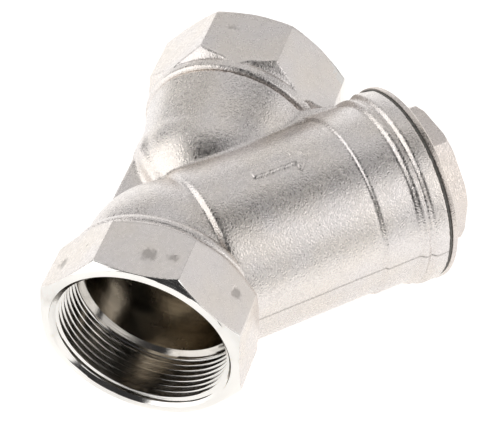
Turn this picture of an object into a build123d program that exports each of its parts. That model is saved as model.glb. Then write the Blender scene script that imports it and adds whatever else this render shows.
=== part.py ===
from build123d import *
import math
import os

# Y strainer, G 2 (DN 50), nickel-plated brass. Lengths are millimetres and angles degrees.
# +X runs along the pipe from the inlet to the outlet, and the origin is the centre of the inlet's face.
# +Z is up with the strainer lying on its side, so the branch leans from +X towards -Y.

# Run
OVERALL_LENGTH = 126.0
ACROSS_FLATS = 66.0
SIDES = 8
FACE_RADIUS = 32.8
CHAMFER_LENGTH = 1.8
INLET_TAPER = ((19.1, 35.9), (22.0, 33.1), (26.5, 31.5))
OUTLET_TAPER = ((20.6, 35.9), (24.7, 33.4), (28.9, 32.5))
CORNER_BREAK = 0.4

# G 2 pipe thread, 11 turns per inch, with a short plain land at its inner end
PIPE_PITCH = 2.309
PIPE_MAJOR_RADIUS = 29.807
PIPE_MINOR_RADIUS = 28.328
PIPE_ROOT_FLAT = 0.33
PIPE_FLANK_ANGLE = 27.5
MOUTH_RADIUS = 30.4
THREAD_END = 19.4
LEDGE_DEPTH = 21.3
PORT_BORE_RADIUS = 26.5
INLET_LAND_LENGTH = 0.4
OUTLET_LAND_LENGTH = 4.0

# Inlet chamber: a sphere where the two axes cross
CROSSING_X = 31.4
CHAMBER_OUTER_RADIUS = 30.6
CHAMBER_INNER_RADIUS = 26.6

# Outlet chamber: a dome that opens out to the outlet's collar
DOME_CENTRE_X = 77.5
DOME_OUTER_RADIUS = 28.0
DOME_INNER_RADIUS = 24.2
FLARE_MIDDLE = (86.5, 29.5)
FLARE_END_RADIUS = 31.5

# Webs in the two corners of the Y, and the rib that crosses the back one
BACK_WEB_HEIGHT = 9.5
CROTCH_WEB_HEIGHT = 20.0
CROTCH_WEB_OUTLINE = ((68, -2), (97.4, -22.3), (105.6, -40.4), (88, -52))
RIB_HEIGHT = 15.2
RIB_START = 4.4
RIB_END = 8.9
RIB_TURN = 6.0

# Branch, with distances along its own axis from the crossing
BRANCH_ANGLE = -45.0
BRANCH_START = 10.6
BRANCH_RADIUS = 30.8
SHOULDER = ((0.0, -1.6), (1.0, -0.5), (2.6, 0.0))
BRANCH_STEP_AT = 62.6
BRANCH_STEP_LENGTH = 1.2
BRANCH_STEP_RADIUS = 31.6
RIM_STEP_START = 75.6
RIM_STEP_END = 77.2
RIM_STEP_RADIUS = 33.2
RIM_START = 79.4
RIM_SLOPE_LENGTH = 1.0
RIM_RADIUS = 34.2
RIM_FACE = 85.4
BRANCH_BORE_RADIUS = 26.5
SEAT_INNER_FACE = 12.0
SEAT_OUTER_FACE = 15.0
SEAT_HOLE_RADIUS = 21.5
SCREEN_POCKET_RADIUS = 24.1
SEAT_POCKET_DEPTH = 1.5

# M56 x 2 thread that holds the cap
CAP_PITCH = 2.0
CAP_MAJOR_RADIUS = 28.0
CAP_FLANK_ANGLE = 30.0
CAP_ROOT_FLAT = 0.25
BRANCH_CREST_RADIUS = 26.95
BRANCH_MOUTH_RADIUS = 28.3
CAP_ROOT_RADIUS = 26.7
THREAD_RADIAL_PLAY = 0.22
THREAD_SIDE_PLAY = 0.14
BRANCH_THREAD_START = 71.0
THREADED_WALL_RADIUS = 29.5
SPIGOT_END = 74.4
LEAD_IN = 1.0
RELIEF_LENGTH = 1.6
RELIEF_RADIUS = 26.4

# Cap
SEAL_GAP = 0.05
GASKET_THICKNESS = 0.8
GASKET_INNER_RADIUS = 28.4
GASKET_OUTER_RADIUS = 33.9
FLANGE_RADIUS = 34.4
FLANGE_THICKNESS = 2.0
CAP_ACROSS_FLATS = 47.0
CAP_HEAD_END = 98.5
CAP_HEAD_END_RADIUS = 24.2
CAP_RECESS_END = 86.8
CAP_HOLLOW_RADIUS = 20.0
CAP_HOLLOW_END = 94.5

# Screen
SCREEN_OUTER_RADIUS = 23.8
SCREEN_THICKNESS = 0.6
SCREEN_END_GAP = 0.3
PERFORATION_RADIUS = 1.6
PERFORATIONS_ROUND = 28
PERFORATION_ROWS = 15
PERFORATION_MARGIN = 5.0

# Raised flow arrow on top of the branch
ARROW_DISTANCE = 40.0
ARROW_LENGTH = 20.0
ARROW_WIDTH = 10.0
ARROW_STEM_WIDTH = 3.2
ARROW_STAND = 0.45

# Helpers: a length well clear of the body, how far a cutting tool reaches past the face it cuts, the same
# for the two sides of a thread, and how far a thread's path runs inside its section
AWAY = 60.0
CUT_PAST = 1.0
BORE_CUT_PAST = 0.3
CREST_CUT_PAST = 0.05
PATH_INSET = 0.7

along_run = Plane.YZ
from_outlet = Plane(origin=(OVERALL_LENGTH, 0, 0), x_dir=(0, -1, 0), z_dir=(-1, 0, 0))
branch_direction = Vector(1, 0, 0).rotate(Axis.Z, BRANCH_ANGLE)
along_branch = Plane(origin=(CROSSING_X, 0, 0), x_dir=(0, 0, 1), z_dir=branch_direction)


def turned(points):
    """A solid of revolution about local +Z, from (height, radius) points."""
    outline = Polyline(*[(radius, height) for height, radius in points], close=True)
    return revolve(Plane.XZ * make_face(outline), Axis.Z)


def rod(radius, low, high):
    """A round bar about local +Z between two heights."""
    return Pos(0, 0, low) * Cylinder(radius, high - low, align=(Align.CENTER, Align.CENTER, Align.MIN))


def octagon_bar(across_flats, low, high):
    """An octagonal bar about local +Z with flats facing local X and Y."""
    section = Rot(0, 0, 180 / SIDES) * RegularPolygon(across_flats / 2, SIDES, major_radius=False)
    return Pos(0, 0, low) * extrude(section, high - low)


def helical_bar(inner, outer, pitch, low, high):
    """A right-hand helical bar about local +Z. inner and outer are (radius, width) of its section."""
    path = Pos(0, 0, low) * Helix(pitch, high - low, inner[0] - PATH_INSET)
    corners = [
        Vector(inner[0], 0, low - inner[1] / 2),
        Vector(outer[0], 0, low - outer[1] / 2),
        Vector(outer[0], 0, low + outer[1] / 2),
        Vector(inner[0], 0, low + inner[1] / 2),
    ]
    section = Face(Wire.make_polygon(corners, close=True))
    return sweep(section, path=path, is_frenet=True)


def pipe_thread():
    """The groove of a port's internal thread, running in along local +Z."""
    slope = math.tan(math.radians(PIPE_FLANK_ANGLE))
    inner_radius = PIPE_MINOR_RADIUS - BORE_CUT_PAST
    inner_width = PIPE_ROOT_FLAT + 2 * slope * (PIPE_MAJOR_RADIUS - inner_radius)
    return helical_bar(
        (inner_radius, inner_width), (PIPE_MAJOR_RADIUS, PIPE_ROOT_FLAT), PIPE_PITCH, -PIPE_PITCH, THREAD_END
    )


def port_end(taper):
    """One octagonal end with its chamfered corners and its tapered collar, along local +Z."""
    envelope = turned([(0, 0), (0, FACE_RADIUS), (CHAMFER_LENGTH, taper[0][1]), *taper, (taper[-1][0], 0)])
    return octagon_bar(ACROSS_FLATS, 0, taper[-1][0]) & envelope


def port_bore(depth):
    """The mouth's chamfer, the bore that the thread is cut in, and the narrower bore past the ledge."""
    chamfer = MOUTH_RADIUS - PIPE_MINOR_RADIUS
    return turned(
        [
            (-CUT_PAST, 0),
            (-CUT_PAST, MOUTH_RADIUS),
            (0, MOUTH_RADIUS),
            (chamfer, PIPE_MINOR_RADIUS),
            (LEDGE_DEPTH, PIPE_MINOR_RADIUS),
            (LEDGE_DEPTH, PORT_BORE_RADIUS),
            (depth, PORT_BORE_RADIUS),
            (depth, 0),
        ]
    )


def outlet_chamber():
    """The domed outlet chamber, which flares up to the outlet's collar."""
    dome_start = DOME_CENTRE_X - DOME_OUTER_RADIUS
    collar_start = OVERALL_LENGTH - OUTLET_TAPER[-1][0]
    dome = RadiusArc((dome_start, 0), (DOME_CENTRE_X, DOME_OUTER_RADIUS), DOME_OUTER_RADIUS)
    flare = ThreePointArc((DOME_CENTRE_X, DOME_OUTER_RADIUS), FLARE_MIDDLE, (collar_start, FLARE_END_RADIUS))
    inside = Polyline((collar_start, FLARE_END_RADIUS), (collar_start, 0), (dome_start, 0))
    return revolve(make_face(dome + flare + inside), Axis.X)


def branch():
    """The branch from its rounded shoulder to the face of its rim, along local +Z."""
    shoulder = [(BRANCH_START + height, BRANCH_RADIUS + rise) for height, rise in SHOULDER]
    return turned(
        [
            (BRANCH_START, 0),
            *shoulder,
            (BRANCH_STEP_AT, BRANCH_RADIUS),
            (BRANCH_STEP_AT + BRANCH_STEP_LENGTH, BRANCH_STEP_RADIUS),
            (RIM_STEP_START, BRANCH_STEP_RADIUS),
            (RIM_STEP_END, RIM_STEP_RADIUS),
            (RIM_START, RIM_STEP_RADIUS),
            (RIM_START + RIM_SLOPE_LENGTH, RIM_RADIUS),
            (RIM_FACE, RIM_RADIUS),
            (RIM_FACE, 0),
        ]
    )


def back_web():
    """The flat web on the side away from the branch, and the rib that crosses it."""
    width = DOME_CENTRE_X - CROSSING_X
    bar = along_run * rod(DOME_OUTER_RADIUS, CROSSING_X, DOME_CENTRE_X)
    web = Pos(CROSSING_X, 0, 0) * Box(
        width, AWAY, 2 * BACK_WEB_HEIGHT, align=(Align.MIN, Align.MIN, Align.CENTER)
    )
    rib = Pos(CROSSING_X, 0, 0) * Rot(0, 0, BRANCH_ANGLE - RIB_TURN) * Pos(RIB_START, 0, 0) * Box(
        RIB_END - RIB_START, AWAY, 2 * RIB_HEIGHT, align=(Align.MIN, Align.MIN, Align.CENTER)
    )
    return (web & bar) + (rib & bar)


def crotch_web():
    """The flat web between the outlet chamber and the branch."""
    return extrude(make_face(Polyline(*CROTCH_WEB_OUTLINE, close=True)), CROTCH_WEB_HEIGHT, both=True)


def inlet_side():
    """Everything on the inlet's side of the seat."""
    return along_branch * rod(AWAY, SEAT_INNER_FACE - 2 * AWAY, SEAT_INNER_FACE)


def screen_side():
    """Everything on the screen's side of the seat."""
    return along_branch * rod(2 * AWAY, SEAT_OUTER_FACE, SEAT_OUTER_FACE + 3 * AWAY)


def inlet_cavity():
    """The inlet's bore and the round chamber in front of the seat."""
    chamber = Pos(CROSSING_X, 0, 0) * Sphere(CHAMBER_INNER_RADIUS)
    chamber_bore = along_run * rod(PORT_BORE_RADIUS, LEDGE_DEPTH, CROSSING_X)
    inner = (chamber + chamber_bore) & inlet_side()
    return inner + along_run * port_bore(LEDGE_DEPTH + INLET_LAND_LENGTH)


def outlet_cavity():
    """The round chamber around the far side of the screen and the outlet's bore."""
    chamber = Pos(DOME_CENTRE_X, 0, 0) * Sphere(DOME_INNER_RADIUS)
    chamber_end = OVERALL_LENGTH - LEDGE_DEPTH + CUT_PAST
    chamber_bore = along_run * rod(DOME_INNER_RADIUS, DOME_CENTRE_X, chamber_end)
    inner = (chamber + chamber_bore) & screen_side()
    return inner + from_outlet * port_bore(LEDGE_DEPTH + OUTLET_LAND_LENGTH)


def branch_cavity():
    """The hole in the seat, the screen's pocket, the branch's bore and the room for its threaded wall."""
    return turned(
        [
            (SEAT_INNER_FACE - CUT_PAST, 0),
            (SEAT_INNER_FACE - CUT_PAST, SEAT_HOLE_RADIUS),
            (SEAT_OUTER_FACE - SEAT_POCKET_DEPTH, SEAT_HOLE_RADIUS),
            (SEAT_OUTER_FACE - SEAT_POCKET_DEPTH, SCREEN_POCKET_RADIUS),
            (SEAT_OUTER_FACE, SCREEN_POCKET_RADIUS),
            (SEAT_OUTER_FACE, BRANCH_BORE_RADIUS),
            (BRANCH_THREAD_START, BRANCH_BORE_RADIUS),
            (BRANCH_THREAD_START, THREADED_WALL_RADIUS),
            (RIM_FACE + CUT_PAST, THREADED_WALL_RADIUS),
            (RIM_FACE + CUT_PAST, 0),
        ]
    )


def threaded_wall():
    """The wall inside the rim with the branch's internal thread and its chamfered mouth."""
    mouth = BRANCH_MOUTH_RADIUS - BRANCH_CREST_RADIUS
    slope = math.tan(math.radians(CAP_FLANK_ANGLE))
    inner_radius = BRANCH_CREST_RADIUS - BORE_CUT_PAST
    inner_width = CAP_ROOT_FLAT + 2 * slope * (CAP_MAJOR_RADIUS - inner_radius)
    groove = helical_bar(
        (inner_radius, inner_width),
        (CAP_MAJOR_RADIUS, CAP_ROOT_FLAT),
        CAP_PITCH,
        BRANCH_THREAD_START + CAP_PITCH,
        RIM_FACE + CAP_PITCH,
    )
    wall = rod(THREADED_WALL_RADIUS, BRANCH_THREAD_START, RIM_FACE)
    wall -= rod(BRANCH_CREST_RADIUS, BRANCH_THREAD_START - CUT_PAST, RIM_FACE + CUT_PAST)
    chamfer = Pos(0, 0, RIM_FACE - mouth / 2) * Cone(BRANCH_CREST_RADIUS, BRANCH_MOUTH_RADIUS, mouth)
    return wall - groove - chamfer


def flow_arrow():
    """A plain raised arrow on top of the branch, pointing from the seat to the cap."""
    tip = ARROW_LENGTH / 2
    stem = ARROW_STEM_WIDTH / 2
    head = ARROW_WIDTH / 2
    neck = tip - head
    outline = Polyline(
        (-tip, -stem),
        (neck, -stem),
        (neck, -head),
        (tip, 0),
        (neck, head),
        (neck, stem),
        (-tip, stem),
        close=True,
    )
    prism = extrude(make_face(outline), BRANCH_RADIUS + ARROW_STAND)
    placed = Pos(CROSSING_X, 0, 0) * Rot(0, 0, BRANCH_ANGLE) * Pos(ARROW_DISTANCE, 0, 0) * prism
    low = ARROW_DISTANCE - ARROW_LENGTH
    high = ARROW_DISTANCE + ARROW_LENGTH
    skin = rod(BRANCH_RADIUS + ARROW_STAND, low, high) - rod(BRANCH_RADIUS - CUT_PAST, low, high)
    return placed & along_branch * skin


def body():
    """The forged body: run, branch, webs and every cavity and thread."""
    outside = along_run * port_end(INLET_TAPER) + from_outlet * port_end(OUTLET_TAPER)
    outside += Pos(CROSSING_X, 0, 0) * Sphere(CHAMBER_OUTER_RADIUS)
    outside += outlet_chamber()
    outside += along_branch * branch()
    outside += back_web()
    outside += crotch_web()
    outside += flow_arrow()
    solid = outside - inlet_cavity() - outlet_cavity() - along_branch * branch_cavity()
    solid -= along_run * pipe_thread()
    solid -= from_outlet * pipe_thread()
    return solid + along_branch * threaded_wall()


def gasket():
    """The flat sealing ring between the rim and the cap's flange."""
    start = RIM_FACE + SEAL_GAP
    end = start + GASKET_THICKNESS
    hole = rod(GASKET_INNER_RADIUS, start - CUT_PAST, end + CUT_PAST)
    return along_branch * (rod(GASKET_OUTER_RADIUS, start, end) - hole)


def cap_spigot(end):
    """The tube of the cap with its external thread, cut as the groove between the thread's turns."""
    crest_radius = CAP_MAJOR_RADIUS - THREAD_RADIAL_PLAY
    outer_radius = crest_radius + CREST_CUT_PAST
    slope = math.tan(math.radians(CAP_FLANK_ANGLE))
    room = CAP_PITCH - CAP_ROOT_FLAT + 2 * THREAD_SIDE_PLAY
    groove = helical_bar(
        (CAP_ROOT_RADIUS, room - 2 * slope * (CAP_MAJOR_RADIUS - CAP_ROOT_RADIUS)),
        (outer_radius, room - 2 * slope * (CAP_MAJOR_RADIUS - outer_radius)),
        CAP_PITCH,
        BRANCH_THREAD_START + CAP_PITCH / 2,
        end,
    )
    tube = rod(crest_radius, SPIGOT_END, end)
    tube -= rod(SCREEN_POCKET_RADIUS, SPIGOT_END - CUT_PAST, end + CUT_PAST)
    tube -= groove
    tube -= rod(AWAY, end - RELIEF_LENGTH, end + CUT_PAST) - rod(RELIEF_RADIUS, SPIGOT_END, end + AWAY)
    lead_in = Pos(0, 0, SPIGOT_END + LEAD_IN / 2) * Cone(crest_radius - LEAD_IN, crest_radius, LEAD_IN)
    return tube - (rod(AWAY, SPIGOT_END - CUT_PAST, SPIGOT_END + LEAD_IN) - lead_in)


def cap():
    """The screwed cap: threaded spigot, flange, octagonal head, and the recess that holds the screen."""
    flange_start = RIM_FACE + GASKET_THICKNESS + 2 * SEAL_GAP
    flange_end = flange_start + FLANGE_THICKNESS
    flange = turned(
        [
            (flange_start, 0),
            (flange_start, FLANGE_RADIUS - CORNER_BREAK),
            (flange_start + CORNER_BREAK, FLANGE_RADIUS),
            (flange_end - CORNER_BREAK, FLANGE_RADIUS),
            (flange_end, FLANGE_RADIUS - CORNER_BREAK),
            (flange_end, 0),
        ]
    )
    corner_radius = CAP_ACROSS_FLATS / 2 / math.cos(math.pi / SIDES)
    chamfer_start = CAP_HEAD_END - (corner_radius - CAP_HEAD_END_RADIUS)
    envelope = turned(
        [
            (flange_start, 0),
            (flange_start, corner_radius),
            (chamfer_start, corner_radius),
            (CAP_HEAD_END, CAP_HEAD_END_RADIUS),
            (CAP_HEAD_END, 0),
        ]
    )
    head = octagon_bar(CAP_ACROSS_FLATS, flange_start + CORNER_BREAK, CAP_HEAD_END) & envelope
    recess = rod(SCREEN_POCKET_RADIUS, flange_start - CUT_PAST, CAP_RECESS_END)
    hollow = rod(CAP_HOLLOW_RADIUS, flange_start - CUT_PAST, CAP_HOLLOW_END)
    return along_branch * (cap_spigot(flange_start) + (flange + head - recess - hollow))


def screen():
    """The perforated stainless tube between the seat's pocket and the cap's recess."""
    start = SEAT_OUTER_FACE - SEAT_POCKET_DEPTH + SCREEN_END_GAP
    end = CAP_RECESS_END - SCREEN_END_GAP
    tube = rod(SCREEN_OUTER_RADIUS, start, end)
    tube -= rod(SCREEN_OUTER_RADIUS - SCREEN_THICKNESS, start - CUT_PAST, end + CUT_PAST)
    row_pitch = (end - start - 2 * PERFORATION_MARGIN) / (PERFORATION_ROWS - 1)
    angle_pitch = 360 / PERFORATIONS_ROUND
    punches = []
    for row in range(PERFORATION_ROWS):
        height = start + PERFORATION_MARGIN + row * row_pitch
        stagger = angle_pitch / 2 * (row % 2)
        for step in range(PERFORATIONS_ROUND):
            turn = Rot(0, 0, stagger + step * angle_pitch)
            place = Pos(0, 0, height) * turn * Pos(SCREEN_OUTER_RADIUS, 0, 0)
            punches.append(place * Rot(0, 90, 0) * Cylinder(PERFORATION_RADIUS, 4 * SCREEN_THICKNESS))
    return along_branch * (tube - punches)


def build():
    """Write each piece to its own file."""
    os.makedirs("parts", exist_ok=True)
    for name, piece in (("body", body()), ("gasket", gasket()), ("cap", cap()), ("screen", screen())):
        export_step(piece, f"parts/{name}.step")


build()
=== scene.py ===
import math

import bmesh
import bpy
import numpy as np
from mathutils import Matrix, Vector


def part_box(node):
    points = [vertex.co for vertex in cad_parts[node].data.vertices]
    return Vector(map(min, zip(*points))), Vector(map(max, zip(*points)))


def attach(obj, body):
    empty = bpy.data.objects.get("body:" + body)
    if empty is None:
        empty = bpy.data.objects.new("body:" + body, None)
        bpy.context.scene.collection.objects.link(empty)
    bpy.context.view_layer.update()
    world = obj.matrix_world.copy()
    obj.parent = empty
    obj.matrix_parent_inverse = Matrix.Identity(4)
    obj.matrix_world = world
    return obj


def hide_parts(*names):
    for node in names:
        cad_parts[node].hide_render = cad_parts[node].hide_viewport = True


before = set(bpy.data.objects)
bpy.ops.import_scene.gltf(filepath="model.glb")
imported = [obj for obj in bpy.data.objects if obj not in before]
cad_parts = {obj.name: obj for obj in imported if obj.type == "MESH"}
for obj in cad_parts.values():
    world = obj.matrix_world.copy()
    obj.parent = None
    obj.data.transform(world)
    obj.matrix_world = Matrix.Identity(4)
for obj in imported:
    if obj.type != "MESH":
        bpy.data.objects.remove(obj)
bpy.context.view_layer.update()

import openvdb
from mathutils import Matrix, Vector

# Everything below is in millimetres until it becomes a mesh, which is in metres.
MM = 0.001
HALF = math.sqrt(0.5)

# Run
OVERALL_LENGTH = 126.0
ACROSS_FLATS = 66.0
SIDES = 8
CORNER_RADIUS = 0.6
FACE_RADIUS = 32.8
CHAMFER_RADIUS = 35.9
CHAMFER_LENGTH = 1.8
EDGE = 0.25

# G 2 thread
PIPE_PITCH = 2.309
PIPE_CREST = 28.328
PIPE_ROOT = 29.807
PIPE_CREST_FLAT = 0.45
PIPE_ROOT_FLAT = 0.33
MOUTH_RADIUS = 30.4
THREAD_END = 19.4
LEDGE_DEPTH = 21.3
PORT_BORE = 26.5

# Chambers
CROSSING_X = 31.4
INLET_DOME = 30.6
INLET_CHAMBER = 26.6
OUTLET_DOME_X = 77.5
OUTLET_DOME = 28.0
OUTLET_CHAMBER = 24.2

# Web between the run and the branch, the rib across it, and the filling of the crotch
WEB_HALF_HEIGHT = 9.5
WEB_END = 76.0
RIB_TURN = math.radians(-51)
RIB_AT = 6.65
RIB_HALF_WIDTH = 2.25
RIB_HALF_HEIGHT = 15.4
CROTCH_HALF_HEIGHT = 20.0

# Branch, by distance along its axis from the crossing
SEAT_FACES = (12.0, 15.0)
SEAT_HOLE = 21.5
POCKET_RADIUS = 24.1
BRANCH_BORE = 26.5
BRANCH_CREST = 26.95
BRANCH_MOUTH = 28.3
BRANCH_THREAD_START = 71.0
CAP_MAJOR = 28.0
CAP_PITCH = 2.0
BRANCH_THREAD_FLATS = (0.54, 0.25)
RIM_FACE = 85.4
ARROW_AT = 40.0
ARROW_LENGTH = 20.0
ARROW_WIDTH = 10.0
ARROW_STEM = 3.2
ARROW_STAND = 0.65

# Where a thread's ridge crosses angle 0, from the rim for the branch and along the branch for the cap
RIM_PHASE = -0.1
CAP_PHASE = 72.5

# Cap, gasket and screen, by distance along the branch
SPIGOT_END = 74.4
CAP_CREST = 27.78
CAP_ROOT = 26.7
CAP_THREAD_FLATS = (0.53, 0.22)
RELIEF = (84.7, 26.4)
GASKET_FACES = (85.45, 86.25)
GASKET_RADII = (28.4, 33.9)
FLANGE_FACES = (86.3, 88.3)
FLANGE_RADIUS = 34.4
CAP_FLATS = 47.0
HEAD_END = 98.5
HEAD_END_RADIUS = 24.2
RECESS = (24.1, 86.8)
HOLLOW = (20.0, 94.5)
SCREEN_ENDS = (13.8, 86.5)
SCREEN_RADII = (23.2, 23.8)

VOXEL = 0.5
THREAD_STEPS = 224


def segment_distance(x, y, outline):
    """Signed distance in a plane to a closed outline, negative inside."""
    nearest = np.full(x.shape, np.inf)
    inside = np.zeros(x.shape, bool)
    for (ax, ay), (bx, by) in zip(outline, outline[1:] + outline[:1]):
        ex, ey = bx - ax, by - ay
        t = np.clip(((x - ax) * ex + (y - ay) * ey) / (ex * ex + ey * ey), 0, 1)
        nearest = np.minimum(nearest, (x - ax - t * ex) ** 2 + (y - ay - t * ey) ** 2)
        if ay != by:
            crosses = (ay > y) != (by > y)
            inside ^= crosses & (x < ax + (y - ay) * ex / ey)
    return np.where(inside, -1, 1) * np.sqrt(nearest)


class Turned:
    """Signed distance to a solid of revolution, from its outline with softened corners."""

    STEP = 0.1

    def __init__(self, outline, soft):
        points = np.array(outline)
        self.low = points.min(0) - 8
        high = points.max(0) + 8
        a, r = np.meshgrid(*[np.arange(self.low[k], high[k], self.STEP) for k in (0, 1)], indexing="ij")
        values = segment_distance(a, r, outline)
        reach = int(3 * soft / self.STEP)
        kernel = np.exp(-0.5 * (np.arange(-reach, reach + 1) * self.STEP / soft) ** 2)
        kernel /= kernel.sum()
        for axis in (0, 1):
            padding = [(reach, reach) if k == axis else (0, 0) for k in (0, 1)]
            padded = np.pad(values, padding, "edge")
            values = np.apply_along_axis(lambda line: np.convolve(line, kernel, "valid"), axis, padded)
        self.values = values

    def __call__(self, axial, radial):
        u = np.clip((axial - self.low[0]) / self.STEP, 0, self.values.shape[0] - 1.001)
        v = np.clip((radial - self.low[1]) / self.STEP, 0, self.values.shape[1] - 1.001)
        i, j = u.astype(np.int32), v.astype(np.int32)
        fu, fv = u - i, v - j
        near = self.values[i, j] * (1 - fv) + self.values[i, j + 1] * fv
        far = self.values[i + 1, j] * (1 - fv) + self.values[i + 1, j + 1] * fv
        return near * (1 - fu) + far * fu


def join(a, b, soft):
    """Union of two distances with a fillet."""
    h = np.clip(0.5 + 0.5 * (b - a) / soft, 0, 1)
    return b * (1 - h) + a * h - soft * h * (1 - h)


def meet(a, b, soft):
    """Intersection of two distances with a rounded edge."""
    return -join(-a, -b, soft)


def branch_coordinates(x, y):
    """Distance along the branch's axis, and across it in the plane of the two axes."""
    return HALF * (x - CROSSING_X - y), HALF * (x - CROSSING_X + y)


def arrow_distance(along, across):
    """Signed distance to the plain flow arrow's outline on the branch."""
    tip, side, stem = ARROW_LENGTH / 2, ARROW_WIDTH / 2, ARROW_STEM / 2
    neck = tip - side
    half = [(-tip, stem), (neck, stem), (neck, side), (tip, 0)]
    outline = [(a, -b) for a, b in half] + half[-2::-1]
    return segment_distance(along - ARROW_AT, across, outline)


def forged_skin(x, y, z):
    """Distance to the outside of the body between its two octagonal ends."""
    run_radius = np.hypot(y, z)
    along, across = branch_coordinates(x, y)
    branch_radius = np.hypot(across, z)

    inlet = meet(np.sqrt((x - CROSSING_X) ** 2 + y * y + z * z) - INLET_DOME, 20.0 - x, 0.3)

    start = OUTLET_DOME_X - OUTLET_DOME
    quarter = [(OUTLET_DOME_X - OUTLET_DOME * math.cos(t), OUTLET_DOME * math.sin(t))
               for t in np.linspace(0, math.pi / 2, 24)]
    flare = [(82.0, 28.7), (86.5, 29.5), (92.0, 30.6), (97.0, 31.7), (97.0, -1), (start, -1)]
    outlet = Turned(quarter + flare, 0.35)(x, run_radius)

    branch = Turned([
        (10.6, -1), (10.6, 29.6), (11.6, 30.6), (13.4, 30.85), (61.6, 30.8), (62.3, 30.6), (62.9, 30.75),
        (63.3, 31.6), (75.6, 31.6), (76.8, 32.9), (78.0, 33.2), (78.4, 32.75), (79.3, 32.75), (79.8, 33.7),
        (80.4, 34.2), (RIM_FACE, 34.2), (RIM_FACE, -1),
    ], 0.22)(along, branch_radius)
    raised = np.clip(0.5 - arrow_distance(along, across) / 0.5, 0, 1)
    branch = branch - ARROW_STAND * raised * (z > 0)

    web = meet(np.abs(z) - WEB_HALF_HEIGHT, run_radius - OUTLET_DOME, 0.8)
    web = np.maximum(meet(web, np.maximum(CROSSING_X - x, x - WEB_END), 0.5), -y)
    through = (x - CROSSING_X) * math.cos(RIB_TURN) + y * math.sin(RIB_TURN)
    rib = meet(np.abs(through - RIB_AT) - RIB_HALF_WIDTH, np.abs(z) - RIB_HALF_HEIGHT, 3.0)
    rib = np.maximum(meet(rib, run_radius - OUTLET_DOME - 0.1, 1.2), -y)
    outline = [(68, -2), (97.4, -22.3), (105.6, -40.4), (88, -52)]
    crotch = meet(np.abs(z) - CROTCH_HALF_HEIGHT, segment_distance(x, y, outline), 0.8)

    skin = join(join(join(inlet, web, 2.0), rib, 2.0), outlet, 2.2)
    return join(skin, join(branch, crotch, 1.6), 1.5)


def waterway(x, y, z):
    """Distance to the hollow inside: inlet chamber, seat, branch bore and outlet chamber."""
    run_radius = np.hypot(y, z)
    along, across = branch_coordinates(x, y)
    branch_radius = np.hypot(across, z)
    inlet = meet(np.sqrt((x - CROSSING_X) ** 2 + y * y + z * z) - INLET_CHAMBER, along - SEAT_FACES[0], 0.5)
    dome = np.where(x < OUTLET_DOME_X, np.hypot(x - OUTLET_DOME_X, run_radius), run_radius) - OUTLET_CHAMBER
    outlet = np.maximum(meet(dome, SEAT_FACES[1] - along, 0.8), x - 92)
    seat = np.maximum(branch_radius - SEAT_HOLE, np.abs(along - 13) - 3)
    bore = np.maximum(branch_radius - BRANCH_BORE, SEAT_FACES[1] - along)
    pocket = np.maximum(branch_radius - POCKET_RADIUS, np.abs(along - 14.25) - 0.75)
    return np.minimum.reduce([inlet, outlet, seat, bore, pocket])


def bake_modifiers(target):
    """Applies an object's modifiers."""
    mesh = bpy.data.meshes.new_from_object(target.evaluated_get(bpy.context.evaluated_depsgraph_get()))
    target.modifiers.clear()
    target.data = mesh


def new_object(name, mesh):
    """Adds an object to the scene."""
    made = bpy.data.objects.new(name, mesh)
    bpy.context.scene.collection.objects.link(made)
    return made


def forged_middle():
    """The middle of the body as one closed mesh."""
    low, high = np.array([20.0, -88.0, -36.0]), np.array([104.0, 33.0, 36.0])
    axes = [np.arange(low[k], high[k] + VOXEL, VOXEL, dtype=np.float32) for k in range(3)]
    x, y, z = np.meshgrid(*axes, indexing="ij")
    distance = np.maximum(forged_skin(x, y, z), -waterway(x, y, z))
    edge = 3 * VOXEL
    grid = openvdb.FloatGrid(background=edge)
    grid.copyFromArray(np.clip(distance, -edge, edge).astype(np.float32))
    points, quads = grid.convertToQuads(0.0)
    points = (points * VOXEL + low) * MM
    mesh = bpy.data.meshes.new("strainer_body")
    mesh.vertices.add(len(points))
    mesh.vertices.foreach_set("co", points.astype(np.float32).ravel())
    mesh.loops.add(quads.size)
    mesh.loops.foreach_set("vertex_index", quads.astype(np.int32).ravel())
    mesh.polygons.add(len(quads))
    mesh.polygons.foreach_set("loop_start", np.arange(0, quads.size, 4, dtype=np.int32))
    mesh.update(calc_edges=True)
    mesh.validate()
    middle = new_object("strainer_body", mesh)
    fewer = middle.modifiers.new("fewer", "DECIMATE")
    fewer.ratio = 0.42
    bake_modifiers(middle)
    return middle


def closed_mesh(name, points, faces, place):
    """A closed mesh object from points about +X, moved to where it belongs by place."""
    mesh = bpy.data.meshes.new(name)
    mesh.from_pydata([tuple(p * MM) for p in place(np.asarray(points))], [], faces)
    bm = bmesh.new()
    bm.from_mesh(mesh)
    tiny = 2e-6
    bmesh.ops.remove_doubles(bm, verts=bm.verts, dist=tiny)
    bmesh.ops.dissolve_degenerate(bm, edges=bm.edges, dist=tiny)
    bmesh.ops.triangulate(bm, faces=bm.faces)
    bmesh.ops.recalc_face_normals(bm, faces=bm.faces)
    if bm.calc_volume(signed=True) < 0:
        bmesh.ops.reverse_faces(bm, faces=bm.faces)
    bm.to_mesh(mesh)
    bm.free()
    return new_object(name, mesh)


def apply_boolean(target, tool, operation):
    """Joins tool to target or cuts it away, and removes tool."""
    step = target.modifiers.new(operation, "BOOLEAN")
    step.object = tool
    step.operation = operation
    step.solver = "MANIFOLD"
    bake_modifiers(target)
    bpy.data.objects.remove(tool)


def from_inlet(points):
    """From the inlet's end face along the run, which is where the points already are."""
    return points


def from_outlet(points):
    """From the outlet's end face back along the run."""
    return points * (-1, -1, 1) + (OVERALL_LENGTH, 0, 0)


def from_rim(points):
    """From the branch's rim back towards the crossing."""
    return along_branch(points * (-1, -1, 1) + (RIM_FACE, 0, 0))


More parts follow.
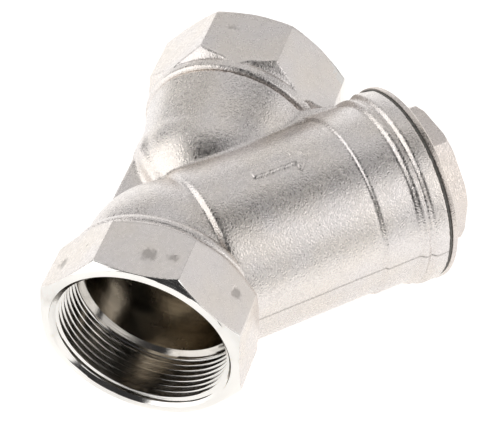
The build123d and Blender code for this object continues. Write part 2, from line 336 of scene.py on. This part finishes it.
def along_branch(points):
    """From the crossing out along the branch."""
    along, across, up = points.T
    return np.stack([CROSSING_X + HALF * (along + across), HALF * (across - along), up], 1)


def ring_faces(first, second):
    """Quads between two rings of vertex numbers."""
    count = len(first)
    return [(first[i], first[(i + 1) % count], second[(i + 1) % count], second[i]) for i in range(count)]


def octagon_radius(angles, across_flats, corner):
    """Radius round an octagon with rounded corners; angle 0 faces a flat."""
    sector = 2 * math.pi / SIDES
    apothem = across_flats / 2
    centre = (apothem - corner) / math.cos(sector / 2)
    tangent = math.atan(centre * math.sin(sector / 2) / apothem)
    off = np.abs((angles + sector / 2) % sector - sector / 2)
    turn = sector / 2 - off
    rounded = centre * np.cos(turn) + np.sqrt(np.maximum(corner ** 2 - (centre * np.sin(turn)) ** 2, 0))
    return np.where(off > tangent, rounded, apothem / np.cos(np.minimum(off, tangent)))


def octagon(across_flats, corner):
    """Angles, closer together at the corners, and radii round an octagon."""
    sector = 2 * math.pi / SIDES
    apothem = across_flats / 2
    tangent = math.atan((apothem - corner) * math.tan(sector / 2) / apothem)
    side = np.linspace(-tangent, tangent, 17)
    bend = np.linspace(tangent, sector - tangent, 7)[1:-1]
    angles = np.concatenate([np.concatenate([side, bend]) + k * sector for k in range(SIDES)])
    return angles, octagon_radius(angles, across_flats, corner)


def lathe(rows, angles):
    """Points and faces of a closed solid from rows of (axial, radius), each a number or one per angle."""
    count = len(angles)
    points = np.concatenate([
        np.stack([np.full(count, 1.0) * a, r * np.cos(angles), r * np.sin(angles)], 1) for a, r in rows
    ])
    rings = np.arange(len(rows) * count).reshape(len(rows), count).tolist()
    faces = [face for k in range(len(rows) - 1) for face in ring_faces(rings[k], rings[k + 1])]
    faces += [tuple(reversed(rings[0])), tuple(rings[-1])]
    return points, faces


def chamfered_end(collar, inside):
    """One octagonal end; collar is the curve from the corners to the collar's inner end."""
    angles, corner = octagon(ACROSS_FLATS, CORNER_RADIUS)
    slope = (CHAMFER_RADIUS - FACE_RADIUS) / CHAMFER_LENGTH
    flat_start = EDGE + (corner - FACE_RADIUS) / slope
    rows = [(0.0, 30.0), (0.0, FACE_RADIUS - EDGE), (EDGE / 2, FACE_RADIUS + EDGE / 2)]
    for t in (0.4, 0.7, 0.93):
        rows.append((EDGE + t * (flat_start - EDGE), FACE_RADIUS + t * (corner - FACE_RADIUS)))
    axial, radial = np.array(collar).T
    falling = np.argsort(radial)
    flat_end = np.interp(corner, radial[falling], axial[falling])
    for t in (0.02, 0.06, 0.2, 0.4, 0.6, 0.8, 0.94, 0.98):
        rows.append((flat_start + t * (flat_end - flat_start), corner))
    for t in np.linspace(0, 1, 26)[1:]:
        here = flat_end + t * (axial[-1] - flat_end)
        rows.append((here, np.minimum(corner, np.interp(here, axial, radial))))
    end, last = axial[-1], radial[-1]
    rows += [(end, last - 1.0), (end, inside), (end + 2.5, inside - 0.5)]
    return lathe(rows, angles)


def threaded(pitch, base, ridge, flats, phase, span, fade, limit, tail):
    """A closed solid about +X with a right-hand helical ridge, on a grid sheared to follow the helix.

    base and ridge are radii, and flats are the widths between ridges and on the ridge. phase is where a
    ridge's middle crosses angle 0. The ridge dies away over fade at the end of span. limit shapes the start,
    and tail holds the rings after the thread.
    """
    steps = THREAD_STEPS
    flank = (pitch - sum(flats)) / 2
    marks = np.cumsum([0, flats[1] / 2, flank, flats[0], flank, flats[1] / 2])
    heights = [1, 1, 0, 0, 1, 1]
    turn = np.concatenate([
        np.linspace(marks[k], marks[k + 1], count, endpoint=False) for k, count in enumerate((1, 4, 2, 4, 1))
    ])
    begin = phase - pitch * math.ceil((phase - span[0]) / pitch + 1.5)
    turns = math.ceil((span[1] - begin) / pitch) + 1
    offsets = np.concatenate([turn + k * pitch for k in range(turns)])
    angles = np.arange(steps) * 2 * math.pi / steps
    offset, angle = np.meshgrid(offsets, angles, indexing="ij")
    axial = np.clip(begin + offset + pitch * angle / (2 * math.pi), *span)
    height = np.interp(offset % pitch, marks, heights) * np.clip((span[1] - axial) / fade, 0, 1)
    radial = limit(axial, base + (ridge - base) * height)
    points = np.stack([axial, radial * np.cos(angle), radial * np.sin(angle)], 2).reshape(-1, 3)
    number = np.arange(offset.size).reshape(offset.shape)
    lower, upper, shift = number[:-1], number[1:], len(turn)
    quads = [np.stack([lower[:, :-1], lower[:, 1:], upper[:, 1:], upper[:, :-1]], 2).reshape(-1, 4)]
    quads.append(np.stack([lower[:-shift, -1], lower[shift:, 0], upper[shift:, 0], upper[:-shift, -1]], 1))
    faces = np.concatenate(quads).tolist()
    ring = number[-1].tolist()
    for a, r in tail:
        here = list(range(len(points), len(points) + steps))
        circle = np.stack([np.full(steps, 1.0) * a, r * np.cos(angles), r * np.sin(angles)], 1)
        points = np.concatenate([points, circle])
        faces += ring_faces(ring, here)
        ring = here
    faces += [tuple(ring), tuple(number[0][::-1].tolist())]
    return points, faces


def port_cutter(tail):
    """The cutter that leaves a port's mouth, its G 2 thread and the bores in tail."""
    def mouth(axial, radial):
        return np.where(axial <= 0, MOUTH_RADIUS, np.maximum(radial, MOUTH_RADIUS - axial))
    flats = (PIPE_CREST_FLAT, PIPE_ROOT_FLAT)
    ledge = [(LEDGE_DEPTH, PIPE_CREST), (LEDGE_DEPTH, PORT_BORE)]
    span = (-1.0, THREAD_END)
    return threaded(PIPE_PITCH, PIPE_CREST, PIPE_ROOT, flats, 0.0, span, 1.2, mouth, ledge + tail)


def rim_cutter():
    """The cutter that leaves the branch's M56 thread and its mouth, running in from the rim."""
    def mouth(axial, radial):
        return np.where(axial <= 0, BRANCH_MOUTH, np.maximum(radial, BRANCH_MOUTH - axial))
    end = RIM_FACE - BRANCH_THREAD_START
    tail = [(end, BRANCH_BORE), (end + 3.0, BRANCH_BORE)]
    span = (-1.0, end)
    flats = BRANCH_THREAD_FLATS
    return threaded(CAP_PITCH, BRANCH_CREST, CAP_MAJOR, flats, RIM_PHASE, span, 0.8, mouth, tail)


def strainer_body():
    """The forged body: smooth middle, octagonal ends, and the three threads cut into it."""
    made = forged_middle()
    inlet_collar = [(19.1, 35.9), (20.3, 34.6), (21.4, 33.4), (22.0, 32.8), (22.4, 32.5), (22.8, 32.55),
                    (23.4, 32.75), (24.4, 32.6), (25.4, 32.2), (26.0, 31.8), (26.3, 31.3), (26.4, 30.9)]
    outlet_collar = [(20.6, 35.9), (22.2, 34.5), (23.5, 33.3), (24.1, 32.85), (24.5, 32.6), (24.9, 32.65),
                     (25.4, 32.95), (26.3, 33.0), (27.5, 32.9), (28.2, 32.7), (28.6, 32.3), (28.8, 31.8),
                     (28.9, 31.3)]
    port_tail = [(30.0, PORT_BORE)]
    outlet_tail = [(25.3, PORT_BORE), (25.3, 24.6), (40.0, 24.25)]
    for name, collar, place in (("inlet", inlet_collar, from_inlet), ("outlet", outlet_collar, from_outlet)):
        apply_boolean(made, closed_mesh(name, *chamfered_end(collar, 28.6), place), "UNION")
    for name, cutter, place in (
        ("inlet_bore", port_cutter(port_tail), from_inlet),
        ("outlet_bore", port_cutter(outlet_tail), from_outlet),
        ("rim_bore", rim_cutter(), from_rim),
    ):
        apply_boolean(made, closed_mesh(name, *cutter, place), "DIFFERENCE")
    return made


def strainer_cap():
    """The screwed cap: threaded spigot, flange, octagonal head and the hollow that holds the screen."""
    def lead_in(axial, radial):
        return np.minimum(radial, CAP_ROOT + axial - SPIGOT_END)
    angles = np.arange(THREAD_STEPS) * 2 * math.pi / THREAD_STEPS
    head = octagon_radius(angles, CAP_FLATS, CORNER_RADIUS)
    low, high = FLANGE_FACES
    tail = [RELIEF, (low, RELIEF[1]), (low, FLANGE_RADIUS - 0.35), (low + 0.1, FLANGE_RADIUS - 0.1)]
    tail += [(low + 0.35, FLANGE_RADIUS), (high - 0.45, FLANGE_RADIUS), (high - 0.2, FLANGE_RADIUS - 0.2)]
    tail += [(high, FLANGE_RADIUS - 0.45), (high, head + 0.8), (high + 0.15, head + 0.3), (high + 0.5, head)]
    for drop in (1.5, 1.2, 0.9, 0.6, 0.3, 0.1):
        tail.append((HEAD_END - drop, np.minimum(head, HEAD_END_RADIUS + drop)))
    tail += [(HEAD_END, np.minimum(head, HEAD_END_RADIUS) - 0.1), (HEAD_END, 21.0), (HEAD_END, 10.0)]
    span = (SPIGOT_END, RELIEF[0])
    solid = threaded(CAP_PITCH, CAP_ROOT, CAP_CREST, CAP_THREAD_FLATS, CAP_PHASE, span, 0.8, lead_in, tail)
    made = closed_mesh("strainer_cap", *solid, along_branch)
    rows = [(SPIGOT_END - 1, RECESS[0]), (RECESS[1], RECESS[0]), (RECESS[1], HOLLOW[0])]
    rows += [(HOLLOW[1] - 1.0, HOLLOW[0]), (HOLLOW[1] - 0.3, HOLLOW[0] - 0.3), (HOLLOW[1], HOLLOW[0] - 1.0)]
    apply_boolean(made, closed_mesh("cap_hollow", *lathe(rows, angles), along_branch), "DIFFERENCE")
    return made


def flat_ring():
    """The gasket, a flat ring with slightly rounded edges."""
    count = 160
    low, high = GASKET_FACES
    inner, outer = GASKET_RADII
    soft = 0.15
    profile = [(low, inner + soft), (low, outer - soft), (low + soft, outer), (high - soft, outer),
               (high, outer - soft), (high, inner + soft), (high - soft, inner), (low + soft, inner)]
    points, _ = lathe(profile, np.arange(count) * 2 * math.pi / count)
    rings = np.arange(len(profile) * count).reshape(len(profile), count).tolist()
    faces = [face for k in range(len(rings)) for face in ring_faces(rings[k - 1], rings[k])]
    return closed_mesh("flat_gasket", points, faces, along_branch)


def perforated_screen():
    """The screen: a thin tube with staggered round perforations and a plain band at each end."""
    columns, rows, band, hole = 64, 27, 4.0, 0.75
    start, end = SCREEN_ENDS
    cell_length = (end - start - 2 * band) / rows
    cell_angle = 2 * math.pi / columns
    radius = sum(SCREEN_RADII) / 2
    around = np.arange(8) * math.pi / 4
    square = np.array([(1, 0), (1, 1), (0, 1), (-1, 1), (-1, 0), (-1, -1), (0, -1), (1, -1)]) / 2
    edge = square * (cell_angle, cell_length)
    rim = np.stack([np.cos(around) * hole / radius, np.sin(around) * hole], 1)
    points, faces = [], []

    def add(angles, lengths, r):
        first = len(points)
        points.extend(zip(lengths, r * np.cos(angles), r * np.sin(angles)))
        return list(range(first, len(points)))

    for row in range(rows):
        for column in range(columns):
            turn = (column + 0.5 * (row % 2)) * cell_angle
            centre = np.array([turn, start + band + (row + 0.5) * cell_length])
            outside, inside = [
                (add(*(centre + edge).T, r), add(*(centre + rim).T, r)) for r in SCREEN_RADII[::-1]
            ]
            faces += ring_faces(*outside) + ring_faces(*inside) + ring_faces(outside[1], inside[1])
    half = np.arange(2 * columns) * cell_angle / 2
    for low, high, tip in ((start, start + band, start), (end, end - band, end)):
        rings = [add(half, np.full(len(half), a), r) for a, r in (
            (high, SCREEN_RADII[1]), (tip, SCREEN_RADII[1]), (tip, SCREEN_RADII[0]), (high, SCREEN_RADII[0]))]
        for first, second in zip(rings, rings[1:]):
            faces += ring_faces(first, second)
    return closed_mesh("screen_tube", points, faces, along_branch)


# Materials
def new_material(name, colour, roughness, metallic=1.0):
    """A material, its node tree and its shader."""
    made = bpy.data.materials.new(name)
    made.use_nodes = True
    shader = made.node_tree.nodes["Principled BSDF"]
    shader.inputs["Base Color"].default_value = (*colour, 1)
    shader.inputs["Roughness"].default_value = roughness
    shader.inputs["Metallic"].default_value = metallic
    return made, made.node_tree, shader


class Graph:
    """Short calls for the nodes of one material."""

    def __init__(self, tree):
        self.tree = tree
        self.place = self.add("ShaderNodeTexCoord").outputs["Object"]

    def add(self, kind, inputs=(), **settings):
        node = self.tree.nodes.new(kind)
        for key, value in settings.items():
            setattr(node, key, value)
        for key, value in dict(inputs).items():
            if isinstance(value, bpy.types.NodeSocket):
                self.tree.links.new(value, node.inputs[key])
            else:
                node.inputs[key].default_value = value
        return node

    def noise(self, scale, detail=2.0, place=None, roughness=0.55):
        inputs = {"Vector": place or self.place, "Scale": scale, "Detail": detail, "Roughness": roughness}
        return self.add("ShaderNodeTexNoise", inputs).outputs["Fac"]

    def math(self, operation, *values):
        return self.add("ShaderNodeMath", enumerate(values), operation=operation).outputs[0]

    def stretch(self, factors):
        inputs = {0: self.place, 1: factors}
        return self.add("ShaderNodeVectorMath", inputs, operation="MULTIPLY").outputs[0]

    def ranged(self, value, low, high, to_low, to_high):
        inputs = {0: value, 1: low, 2: high, 3: to_low, 4: to_high}
        return self.add("ShaderNodeMapRange", inputs, interpolation_type="SMOOTHSTEP").outputs[0]

    def blend(self, factor, first, second):
        node = self.add("ShaderNodeMix", {"Factor": factor}, data_type="RGBA")
        for socket, value in ((node.inputs[6], first), (node.inputs[7], second)):
            if isinstance(value, bpy.types.NodeSocket):
                self.tree.links.new(value, socket)
            else:
                socket.default_value = (*value, 1)
        return node.outputs[2]

    def bump(self, height, distance, strength=1.0, under=None):
        inputs = {"Height": height, "Distance": distance, "Strength": strength}
        if under:
            inputs["Normal"] = under
        return self.add("ShaderNodeBump", inputs).outputs[0]

    def link(self, value, socket):
        self.tree.links.new(value, socket)

    def split(self):
        """X, Y and Z of the point, and its distance from the run's axis."""
        x, y, z = self.add("ShaderNodeSeparateXYZ", {0: self.place}).outputs
        squares = self.math("ADD", self.math("MULTIPLY", y, y), self.math("MULTIPLY", z, z))
        return x, y, z, self.math("SQRT", squares)


def nickel_skin(name, colour, grain, smooth, marks, seam=False, smudges=()):
    """Shot-blasted nickel plate: grain sets how deep the blasting is, marks how many small dents it has.

    smudges are (place, reach) of larger scuffs, place in millimetres and reach in metres.
    """
    made, tree, shader = new_material(name, colour, smooth)
    g = Graph(tree)
    fine = g.noise(1900, 1.0)
    coarse = g.noise(800, 1.5)
    wave = g.noise(55, 2.0)
    dents = g.ranged(g.noise(95, 3.0, roughness=0.7), 0.80 - marks, 0.86 - marks, 0.0, 1.0)
    nicks = g.ranged(g.noise(520, 1.0), 0.83 - 0.5 * marks, 0.88 - 0.5 * marks, 0.0, 1.0)
    worn = g.math("MAXIMUM", dents, nicks)
    torn = g.noise(420, 3.0, g.stretch((0.55, 1.0, 0.8)), 0.7)
    for place, reach in smudges:
        away = g.add("ShaderNodeVectorMath", {0: g.place, 1: [c * MM for c in place]}, operation="DISTANCE")
        ragged = g.math("ADD", away.outputs["Value"], g.math("MULTIPLY", torn, 3.2 * reach))
        worn = g.math("MAXIMUM", worn, g.ranged(ragged, 1.9 * reach, 3.2 * reach, 0.6, 0.0))
    warmer = [c * k for c, k in zip(colour, (1.03, 1.01, 0.96))]
    tint = g.blend(g.ranged(wave, 0.3, 0.7, 0.0, 1.0), colour, warmer)
    grime = g.ranged(g.noise(180, 4.0, roughness=0.75), 0.5, 0.75, 0.0, 0.16)
    tint = g.blend(grime, tint, [0.55 * c for c in colour])
    tint = g.blend(g.ranged(fine, 0.35, 0.65, 0.32 * grain, 0.0), tint, [0.6 * c for c in colour])
    tint = g.blend(g.math("MULTIPLY", worn, 0.75), tint, (0.20, 0.18, 0.165))
    rough = g.ranged(coarse, 0.3, 0.7, smooth - 0.05, smooth + 0.07)
    rough = g.math("ADD", rough, g.math("MULTIPLY", worn, 0.15))
    normal = g.bump(wave, 0.0001, 0.5)
    normal = g.bump(coarse, 0.00004 * grain, 1.0, normal)
    normal = g.bump(fine, 0.00016 * grain, 1.0, normal)
    normal = g.bump(g.math("MULTIPLY", worn, -1.0), 0.0003, 1.0, normal)
    if seam:
        x, y, z, _ = g.split()
        side = g.ranged(g.math("ADD", x, y), 0.0, 0.004, 1.0, 0.0)
        wandering = g.math("ADD", z, g.math("MULTIPLY", wave, 0.0006))
        line = g.ranged(g.math("ABSOLUTE", wandering), 0.00012, 0.0004, 1.0, 0.0)
        line = g.math("MULTIPLY", line, g.math("MULTIPLY", side, g.ranged(y, -0.03, -0.026, 1.0, 0.0)))
        tint = g.blend(g.math("MULTIPLY", line, 0.4), tint, (0.30, 0.27, 0.24))
        normal = g.bump(line, 0.0003, 1.0, normal)
    g.link(tint, shader.inputs["Base Color"])
    g.link(rough, shader.inputs["Roughness"])
    g.link(normal, shader.inputs["Normal"])
    return made


def turned_nickel(name, colour, smooth, streaks):
    """Nickel over turned brass, with fine rings left by the tool."""
    made, tree, shader = new_material(name, colour, smooth)
    g = Graph(tree)
    x, _, _, radius = g.split()
    rings = g.add("ShaderNodeCombineXYZ", {0: x, 1: radius}).outputs[0]
    ring = g.noise(2600, 2.0, rings)
    broad = g.noise(300, 2.0, g.stretch((1.0, 0.12, 0.12)))
    patch = g.noise(120, 3.0)
    shade = g.ranged(broad, 0.4, 0.7, 0.0, min(0.3 * streaks, 0.5))
    tint = g.blend(shade, colour, [0.5 * c for c in colour])
    tint = g.blend(g.ranged(patch, 0.55, 0.75, 0.0, 0.22), tint, (0.33, 0.27, 0.20))
    g.link(tint, shader.inputs["Base Color"])
    g.link(g.ranged(patch, 0.3, 0.7, smooth - 0.03, smooth + 0.08), shader.inputs["Roughness"])
    g.link(g.bump(ring, 0.00002, 1.0, g.bump(broad, 0.00008 * streaks)), shader.inputs["Normal"])
    return made


def gasket_fibre():
    """Dull grey fibre sheet."""
    made, tree, shader = new_material("gasket_fibre", (0.20, 0.19, 0.17), 0.75, 0.0)
    g = Graph(tree)
    fibre = g.noise(900, 4.0, roughness=0.8)
    g.link(g.blend(g.ranged(fibre, 0.4, 0.7, 0.0, 1.0), (0.13, 0.12, 0.11), (0.26, 0.25, 0.23)),
           shader.inputs["Base Color"])
    g.link(g.ranged(fibre, 0.3, 0.7, 0.65, 0.85), shader.inputs["Roughness"])
    g.link(g.bump(fibre, 0.00015), shader.inputs["Normal"])
    return made


def screen_steel():
    """Brushed stainless sheet with faint stains."""
    made, tree, shader = new_material("screen_steel", (0.60, 0.59, 0.57), 0.3)
    g = Graph(tree)
    grain = g.noise(700, 3.0, g.stretch((0.06, 0.06, 1.0)))
    stain = g.noise(70, 3.0)
    g.link(g.blend(g.ranged(stain, 0.45, 0.75, 0.0, 0.5), (0.62, 0.61, 0.59), (0.42, 0.39, 0.34)),
           shader.inputs["Base Color"])
    g.link(g.ranged(grain, 0.3, 0.7, 0.22, 0.42), shader.inputs["Roughness"])
    g.link(g.bump(grain, 0.00003), shader.inputs["Normal"])
    return made


def paint_regions(piece, materials, regions):
    """Gives each face the last material whose region holds its middle, in millimetres."""
    mesh = piece.data
    mesh.materials.clear()
    for material in materials:
        mesh.materials.append(material)
    count = len(mesh.polygons)
    centres, normals = np.empty(count * 3), np.empty(count * 3)
    mesh.polygons.foreach_get("center", centres)
    mesh.polygons.foreach_get("normal", normals)
    x, y, z = (centres.reshape(-1, 3) / MM).T
    index = np.zeros(count, np.int32)
    for number, region in enumerate(regions, 1):
        index[region(x, y, z, normals.reshape(-1, 3))] = number
    mesh.polygons.foreach_set("material_index", index)
    mesh.shade_smooth()
    mesh.set_sharp_from_angle(angle=math.radians(33))


def on_flats(x, y, z, normals):
    """The spanner flats of the two ends."""
    beside = np.minimum(x, OVERALL_LENGTH - x)
    return (beside < 25) & (np.hypot(y, z) > 32.9) & (np.abs(normals[:, 0]) < 0.05)


def is_turned(x, y, z, normals):
    """End faces, chamfers, ports' bores, and the branch's bore and rim face."""
    beside = np.minimum(x, OVERALL_LENGTH - x)
    radius = np.hypot(y, z)
    along, across = branch_coordinates(x, y)
    end = (beside < 2.2) & (np.abs(normals[:, 0]) > 0.3)
    bore = (beside < LEDGE_DEPTH + 0.1) & (radius < 30.5)
    branch_bore = (along > SEAT_FACES[1] - 0.2) & (np.hypot(across, z) < 28.35)
    rim = (along > RIM_FACE - 0.1) & (np.hypot(across, z) > 26)
    return end | bore | branch_bore | rim


def is_inside(x, y, z, normals):
    """The chambers behind the ports' ledges, and the seat."""
    beside = np.minimum(x, OVERALL_LENGTH - x)
    run_radius = np.hypot(y, z)
    along, across = branch_coordinates(x, y)
    inlet = np.sqrt((x - CROSSING_X) ** 2 + run_radius ** 2) < INLET_CHAMBER + 0.5
    inlet |= (x < CROSSING_X) & (run_radius < PORT_BORE + 0.1)
    outlet = np.sqrt((x - OUTLET_DOME_X) ** 2 + run_radius ** 2) < OUTLET_CHAMBER + 0.5
    outlet |= (x > OUTLET_DOME_X) & (run_radius < PORT_BORE + 0.1)
    bored = (along > SEAT_FACES[1] - 0.2) & (np.hypot(across, z) > BRANCH_BORE - 0.1)
    return (beside > LEDGE_DEPTH + 0.05) & (inlet & (along < SEAT_FACES[1]) | outlet & (bored | (x > 90)))


def cap_turned(x, y, z, normals):
    """The cap's spigot and hollow."""
    along, across = branch_coordinates(x, y)
    hollow = (along < HOLLOW[1] + 0.1) & (np.hypot(across, z) < HOLLOW[0] + 0.1)
    return (along < FLANGE_FACES[0] + 0.05) | hollow


SKIN = (0.80, 0.755, 0.735)
FLAT = (0.79, 0.745, 0.725)
BRIGHT = (0.86, 0.835, 0.80)
# The chamber colour is a real warm brass tone, darkened well below plain metal as painted shade for the deep
# hollows inside
CHAMBER_BRASS_AND_SHADE = (0.40, 0.35, 0.28)
PINKISH = (0.74, 0.68, 0.65)

skin = nickel_skin("blasted_nickel", SKIN, 1.0, 0.27, 0.0, seam=True)
flats = nickel_skin("nickel_flats", FLAT, 0.30, 0.30, 0.045, smudges=[
    ((8.9, -1.6, 33.0), 0.0022), ((10.0, -9.3, 33.0), 0.0013), ((14.0, -28.0, 18.5), 0.0016),
    ((117.0, 6.0, 33.0), 0.0015), ((9.0, 27.0, 19.0), 0.0018), ((115.0, -2.0, -33.0), 0.0018),
])
bright = turned_nickel("turned_nickel", BRIGHT, 0.12, 1.0)
# Inside the chambers: warm brass with painted shade in its dark base colour
chamber = turned_nickel("chamber_brass_painted_shade", CHAMBER_BRASS_AND_SHADE, 0.20, 1.3)
cap_skin = nickel_skin("cap_nickel", PINKISH, 0.8, 0.27, 0.01)

body = strainer_body()
paint_regions(body, [skin, flats, bright, chamber], [on_flats, is_turned, is_inside])
cap = strainer_cap()
paint_regions(cap, [cap_skin, bright], [cap_turned])
ring = flat_ring()
paint_regions(ring, [gasket_fibre()], [])
tube = perforated_screen()
paint_regions(tube, [screen_steel()], [])

for piece, node, rider in (
    (body, "body", "housing"), (cap, "cap", "cap"), (ring, "gasket", "strainer_insert"),
    (tube, "screen", "strainer_insert"),
):
    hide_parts(node)
    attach(piece, rider)


# Studio
def softbox(name, place, size, radiance):
    """A rectangular light aimed at the middle of the strainer."""
    lamp = bpy.data.lights.new(name, "AREA")
    lamp.shape = "RECTANGLE"
    lamp.size, lamp.size_y = size
    lamp.energy = radiance * math.pi * size[0] * size[1]
    made = new_object(name, lamp)
    made.location = place
    made.rotation_euler = (middle - place).to_track_quat("-Z", "Y").to_euler()


middle = Vector((0.063, -0.025, 0.0))
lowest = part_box("body")[0][2]
floor_half = 4.0
floor_mesh = bpy.data.meshes.new("floor")
corners = [(floor_half * x, floor_half * y, lowest) for x, y in ((-1, -1), (1, -1), (1, 1), (-1, 1))]
floor_mesh.from_pydata(corners, [], [(0, 1, 2, 3)])
floor = new_object("floor", floor_mesh)
paper, _, paper_shader = new_material("pale_floor", (0.93, 0.93, 0.925), 0.9, 0.0)
paper_shader.inputs["Emission Color"].default_value = (1, 1, 0.99, 1)
paper_shader.inputs["Emission Strength"].default_value = 0.62
floor_mesh.materials.append(paper)

world = bpy.data.worlds.new("studio")
world.use_nodes = True
world.node_tree.nodes["Background"].inputs["Color"].default_value = (0.98, 0.97, 1.0, 1)
world.node_tree.nodes["Background"].inputs["Strength"].default_value = 0.04
bpy.context.scene.world = world

# The camera's right, up and back directions, and the level directions that the lights are placed by
columns = [(0.30109, -0.95354, -0.00997), (0.69507, 0.21229, 0.68689), (-0.65286, -0.21375, 0.72669)]
right = Vector((columns[0][0], columns[0][1], 0)).normalized()
ahead = Vector((-right.y, right.x, 0))
up = Vector((0, 0, 1))
softbox("left_box", middle - right * 0.75 - ahead * 0.08 + up * 0.34, (1.3, 0.80), 1.5)
softbox("right_box", middle + right * 0.75 + ahead * 0.10 + up * 0.30, (1.1, 0.70), 0.80)
softbox("front_box", middle + right * 0.55 - ahead * 0.44 + up * 0.56, (0.85, 1.05), 0.88)
softbox("back_box", middle + ahead * 0.85 + up * 0.22, (1.5, 0.45), 1.0)
softbox("top_box", middle + ahead * 0.55 + up * 0.85, (1.2, 0.8), 0.74)

camera = bpy.data.cameras.new("camera")
camera.sensor_width = 36
camera.lens = 133.55
viewer = new_object("camera", camera)
viewer.matrix_world = Matrix.Translation((-0.3292, -0.142, 0.4348)) @ Matrix(columns).transposed().to_4x4()
bpy.context.scene.camera = viewer
bpy.context.scene.view_settings.view_transform = "Standard"
